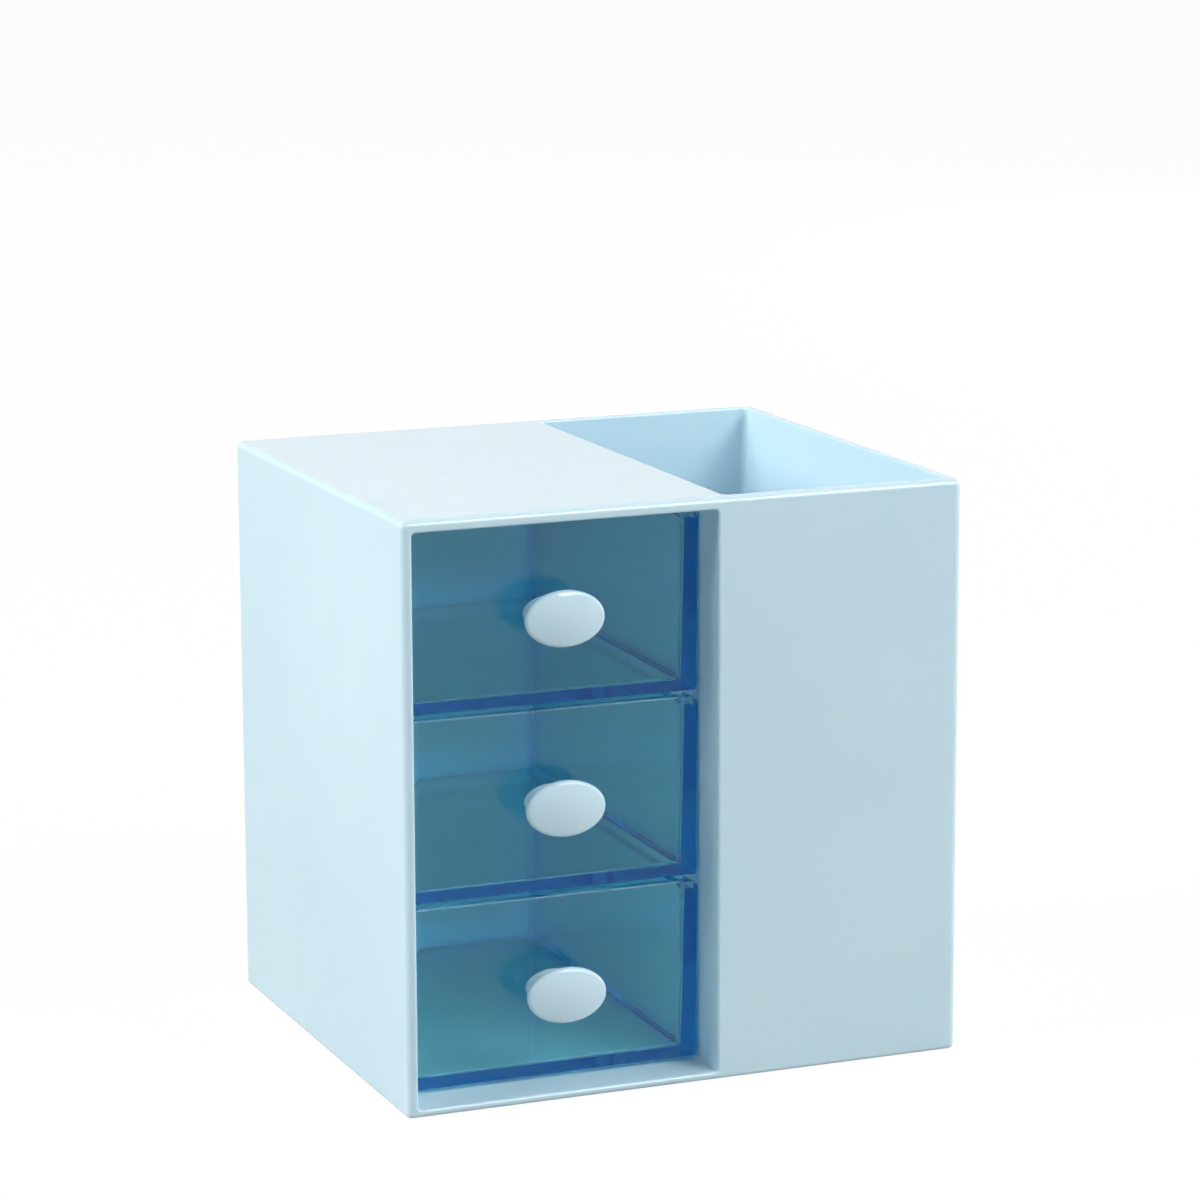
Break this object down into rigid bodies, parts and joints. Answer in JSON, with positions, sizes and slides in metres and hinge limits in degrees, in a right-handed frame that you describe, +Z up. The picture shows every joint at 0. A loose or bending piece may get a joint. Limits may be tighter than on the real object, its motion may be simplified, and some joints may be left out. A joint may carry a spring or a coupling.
{
  "type": "desk drawer unit",
  "caption": "Moulded desk organizer with a stack of clear pull-out drawers, each with an oval knob, beside an open-topped pen bin.",
  "frame": {"origin": "middle of the base, on the surface that the unit stands on", "axes": "+Z up, the open fronts of the drawers and their knobs face -Y, the pen bin is on the +X side"},
  "size_m": [0.1186, 0.102, 0.118],
  "materials": {
    "housing_plastic": "glossy moulded pale blue",
    "drawer_plastic": "clear tinted blue, polished",
    "knob_plastic": "glossy moulded pale blue"
  },
  "bodies": {
    "housing": {"housing": "housing_plastic"},
    "bottom_drawer": {"bottom_drawer": "drawer_plastic", "bottom_knob": "knob_plastic"},
    "middle_drawer": {"middle_drawer": "drawer_plastic", "middle_knob": "knob_plastic"},
    "top_drawer": {"top_drawer": "drawer_plastic", "top_knob": "knob_plastic"}
  },
  "joints": [
    {"name": "bottom_drawer_slide", "type": "slide", "parent": "housing", "child": "bottom_drawer", "axis": [0, -1, 0], "range_m": [0, 0.07]},
    {"name": "middle_drawer_slide", "type": "slide", "parent": "housing", "child": "middle_drawer", "axis": [0, -1, 0], "range_m": [0, 0.07]},
    {"name": "top_drawer_slide", "type": "slide", "parent": "housing", "child": "top_drawer", "axis": [0, -1, 0], "range_m": [0, 0.07]}
  ]
}
